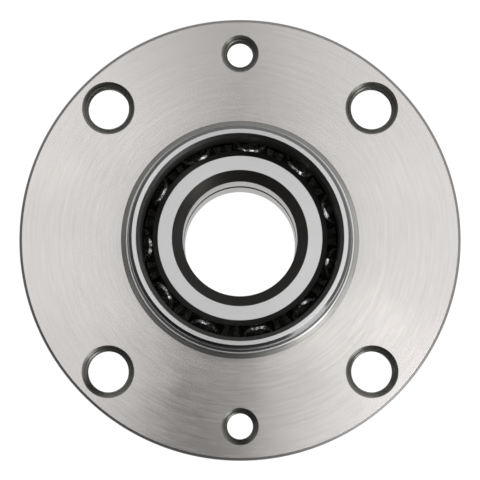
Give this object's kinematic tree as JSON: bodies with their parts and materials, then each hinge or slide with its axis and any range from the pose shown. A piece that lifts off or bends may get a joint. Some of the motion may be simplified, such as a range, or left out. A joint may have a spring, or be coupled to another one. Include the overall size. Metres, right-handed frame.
{
  "type": "wheel hub bearing",
  "caption": "Flanged wheel hub that turns on rows of angular contact balls around split inner rings, with tapped flange holes for the wheel bolts and drum screws.",
  "frame": {"origin": "on the bearing axis, at the inboard face of the inner rings, which is the lowest face", "axes": "+Z along the bearing axis, outboard to the wheel; +Y through one of the two drum screw holes"},
  "size_m": [0.116, 0.116, 0.0604],
  "materials": {
    "hub_steel": "fine turned steel",
    "ring_steel": "ground steel",
    "clip_steel": "blued spring steel",
    "ball_steel": "polished, greased",
    "cage_nylon": "moulded nylon",
    "seal_steel": "pressed steel",
    "seal_rubber": "moulded rubber"
  },
  "bodies": {
    "inner_rings": {"outboard_inner_ring": "ring_steel", "inboard_inner_ring": "ring_steel", "inner_ring_clip": "clip_steel", "seal_slinger": "seal_steel"},
    "hub": {"hub_flange": "hub_steel", "seal_case": "seal_steel", "seal_lips": "seal_rubber"},
    "outboard_cage_body": {"outboard_cage": "cage_nylon"},
    "inboard_cage_body": {"inboard_cage": "cage_nylon"},
    "outboard_ball_01_body": {"outboard_ball_01": "ball_steel"},
    "outboard_ball_02_body": {"outboard_ball_02": "ball_steel"},
    "outboard_ball_03_body": {"outboard_ball_03": "ball_steel"},
    "outboard_ball_04_body": {"outboard_ball_04": "ball_steel"},
    "outboard_ball_05_body": {"outboard_ball_05": "ball_steel"},
    "outboard_ball_06_body": {"outboard_ball_06": "ball_steel"},
    "outboard_ball_07_body": {"outboard_ball_07": "ball_steel"},
    "outboard_ball_08_body": {"outboard_ball_08": "ball_steel"},
    "outboard_ball_09_body": {"outboard_ball_09": "ball_steel"},
    "outboard_ball_10_body": {"outboard_ball_10": "ball_steel"},
    "outboard_ball_11_body": {"outboard_ball_11": "ball_steel"},
    "inboard_ball_01_body": {"inboard_ball_01": "ball_steel"},
    "inboard_ball_02_body": {"inboard_ball_02": "ball_steel"},
    "inboard_ball_03_body": {"inboard_ball_03": "ball_steel"},
    "inboard_ball_04_body": {"inboard_ball_04": "ball_steel"},
    "inboard_ball_05_body": {"inboard_ball_05": "ball_steel"},
    "inboard_ball_06_body": {"inboard_ball_06": "ball_steel"},
    "inboard_ball_07_body": {"inboard_ball_07": "ball_steel"},
    "inboard_ball_08_body": {"inboard_ball_08": "ball_steel"},
    "inboard_ball_09_body": {"inboard_ball_09": "ball_steel"},
    "inboard_ball_10_body": {"inboard_ball_10": "ball_steel"},
    "inboard_ball_11_body": {"inboard_ball_11": "ball_steel"}
  },
  "joints": [
    {"name": "hub_spin", "type": "hinge", "parent": "inner_rings", "child": "hub", "pos_m": [0, 0, 0], "axis": [0, 0, 1], "continuous": true},
    {"name": "outboard_cage_spin", "type": "hinge", "parent": "inner_rings", "child": "outboard_cage_body", "pos_m": [0, 0, 0], "axis": [0, 0, 1], "continuous": true},
    {"name": "outboard_ball_01_spin", "type": "hinge", "parent": "outboard_cage_body", "child": "outboard_ball_01_body", "pos_m": [0.00238, 0.02388, 0.0378], "axis": [0.0638, 0.6396, 0.766], "continuous": true},
    {"name": "outboard_ball_02_spin", "type": "hinge", "parent": "outboard_cage_body", "child": "outboard_ball_02_body", "pos_m": [-0.01091, 0.02138, 0.0378], "axis": [-0.2921, 0.5726, 0.766], "continuous": true},
    {"name": "outboard_ball_03_spin", "type": "hinge", "parent": "outboard_cage_body", "child": "outboard_ball_03_body", "pos_m": [-0.02073, 0.01209, 0.0378], "axis": [-0.5553, 0.3238, 0.766], "continuous": true},
    {"name": "outboard_ball_04_spin", "type": "hinge", "parent": "outboard_cage_body", "child": "outboard_ball_04_body", "pos_m": [-0.02398, -0.00104, 0.0378], "axis": [-0.6422, -0.0278, 0.766], "continuous": true},
    {"name": "outboard_ball_05_spin", "type": "hinge", "parent": "outboard_cage_body", "child": "outboard_ball_05_body", "pos_m": [-0.01961, -0.01384, 0.0378], "axis": [-0.5252, -0.3706, 0.766], "continuous": true},
    {"name": "outboard_ball_06_spin", "type": "hinge", "parent": "outboard_cage_body", "child": "outboard_ball_06_body", "pos_m": [-0.00902, -0.02224, 0.0378], "axis": [-0.2415, -0.5957, 0.766], "continuous": true},
    {"name": "outboard_ball_07_spin", "type": "hinge", "parent": "outboard_cage_body", "child": "outboard_ball_07_body", "pos_m": [0.00444, -0.02359, 0.0378], "axis": [0.1189, -0.6317, 0.766], "continuous": true},
    {"name": "outboard_ball_08_spin", "type": "hinge", "parent": "outboard_cage_body", "child": "outboard_ball_08_body", "pos_m": [0.01649, -0.01744, 0.0378], "axis": [0.4416, -0.4671, 0.766], "continuous": true},
    {"name": "outboard_ball_09_spin", "type": "hinge", "parent": "outboard_cage_body", "child": "outboard_ball_09_body", "pos_m": [0.0233, -0.00576, 0.0378], "axis": [0.624, -0.1542, 0.766], "continuous": true},
    {"name": "outboard_ball_10_spin", "type": "hinge", "parent": "outboard_cage_body", "child": "outboard_ball_10_body", "pos_m": [0.02271, 0.00775, 0.0378], "axis": [0.6083, 0.2076, 0.766], "continuous": true},
    {"name": "outboard_ball_11_spin", "type": "hinge", "parent": "outboard_cage_body", "child": "outboard_ball_11_body", "pos_m": [0.01492, 0.0188, 0.0378], "axis": [0.3995, 0.5036, 0.766], "continuous": true},
    {"name": "inboard_cage_spin", "type": "hinge", "parent": "inner_rings", "child": "inboard_cage_body", "pos_m": [0, 0, 0], "axis": [0, 0, 1], "continuous": true},
    {"name": "inboard_ball_01_spin", "type": "hinge", "parent": "inboard_cage_body", "child": "inboard_ball_01_body", "pos_m": [0, 0.024, 0.0142], "axis": [0, 0.6428, -0.766], "continuous": true},
    {"name": "inboard_ball_02_spin", "type": "hinge", "parent": "inboard_cage_body", "child": "inboard_ball_02_body", "pos_m": [-0.01298, 0.02019, 0.0142], "axis": [-0.3475, 0.5407, -0.766], "continuous": true},
    {"name": "inboard_ball_03_spin", "type": "hinge", "parent": "inboard_cage_body", "child": "inboard_ball_03_body", "pos_m": [-0.02183, 0.00997, 0.0142], "axis": [-0.5847, 0.267, -0.766], "continuous": true},
    {"name": "inboard_ball_04_spin", "type": "hinge", "parent": "inboard_cage_body", "child": "inboard_ball_04_body", "pos_m": [-0.02376, -0.00342, 0.0142], "axis": [-0.6362, -0.0915, -0.766], "continuous": true},
    {"name": "inboard_ball_05_spin", "type": "hinge", "parent": "inboard_cage_body", "child": "inboard_ball_05_body", "pos_m": [-0.01814, -0.01572, 0.0142], "axis": [-0.4858, -0.4209, -0.766], "continuous": true},
    {"name": "inboard_ball_06_spin", "type": "hinge", "parent": "inboard_cage_body", "child": "inboard_ball_06_body", "pos_m": [-0.00676, -0.02303, 0.0142], "axis": [-0.1811, -0.6168, -0.766], "continuous": true},
    {"name": "inboard_ball_07_spin", "type": "hinge", "parent": "inboard_cage_body", "child": "inboard_ball_07_body", "pos_m": [0.00676, -0.02303, 0.0142], "axis": [0.1811, -0.6168, -0.766], "continuous": true},
    {"name": "inboard_ball_08_spin", "type": "hinge", "parent": "inboard_cage_body", "child": "inboard_ball_08_body", "pos_m": [0.01814, -0.01572, 0.0142], "axis": [0.4858, -0.4209, -0.766], "continuous": true},
    {"name": "inboard_ball_09_spin", "type": "hinge", "parent": "inboard_cage_body", "child": "inboard_ball_09_body", "pos_m": [0.02376, -0.00342, 0.0142], "axis": [0.6362, -0.0915, -0.766], "continuous": true},
    {"name": "inboard_ball_10_spin", "type": "hinge", "parent": "inboard_cage_body", "child": "inboard_ball_10_body", "pos_m": [0.02183, 0.00997, 0.0142], "axis": [0.5847, 0.267, -0.766], "continuous": true},
    {"name": "inboard_ball_11_spin", "type": "hinge", "parent": "inboard_cage_body", "child": "inboard_ball_11_body", "pos_m": [0.01298, 0.02019, 0.0142], "axis": [0.3475, 0.5407, -0.766], "continuous": true}
  ],
  "couplings": [
    {"joint": "outboard_cage_spin", "follows": "hub_spin", "ratio": 0.58234},
    {"joint": "outboard_ball_01_spin", "follows": "hub_spin", "ratio": 2.2627},
    {"joint": "outboard_ball_02_spin", "follows": "hub_spin", "ratio": 2.2627},
    {"joint": "outboard_ball_03_spin", "follows": "hub_spin", "ratio": 2.2627},
    {"joint": "outboard_ball_04_spin", "follows": "hub_spin", "ratio": 2.2627},
    {"joint": "outboard_ball_05_spin", "follows": "hub_spin", "ratio": 2.2627},
    {"joint": "outboard_ball_06_spin", "follows": "hub_spin", "ratio": 2.2627},
    {"joint": "outboard_ball_07_spin", "follows": "hub_spin", "ratio": 2.2627},
    {"joint": "outboard_ball_08_spin", "follows": "hub_spin", "ratio": 2.2627},
    {"joint": "outboard_ball_09_spin", "follows": "hub_spin", "ratio": 2.2627},
    {"joint": "outboard_ball_10_spin", "follows": "hub_spin", "ratio": 2.2627},
    {"joint": "outboard_ball_11_spin", "follows": "hub_spin", "ratio": 2.2627},
    {"joint": "inboard_cage_spin", "follows": "hub_spin", "ratio": 0.58234},
    {"joint": "inboard_ball_01_spin", "follows": "hub_spin", "ratio": -2.2627},
    {"joint": "inboard_ball_02_spin", "follows": "hub_spin", "ratio": -2.2627},
    {"joint": "inboard_ball_03_spin", "follows": "hub_spin", "ratio": -2.2627},
    {"joint": "inboard_ball_04_spin", "follows": "hub_spin", "ratio": -2.2627},
    {"joint": "inboard_ball_05_spin", "follows": "hub_spin", "ratio": -2.2627},
    {"joint": "inboard_ball_06_spin", "follows": "hub_spin", "ratio": -2.2627},
    {"joint": "inboard_ball_07_spin", "follows": "hub_spin", "ratio": -2.2627},
    {"joint": "inboard_ball_08_spin", "follows": "hub_spin", "ratio": -2.2627},
    {"joint": "inboard_ball_09_spin", "follows": "hub_spin", "ratio": -2.2627},
    {"joint": "inboard_ball_10_spin", "follows": "hub_spin", "ratio": -2.2627},
    {"joint": "inboard_ball_11_spin", "follows": "hub_spin", "ratio": -2.2627}
  ]
}
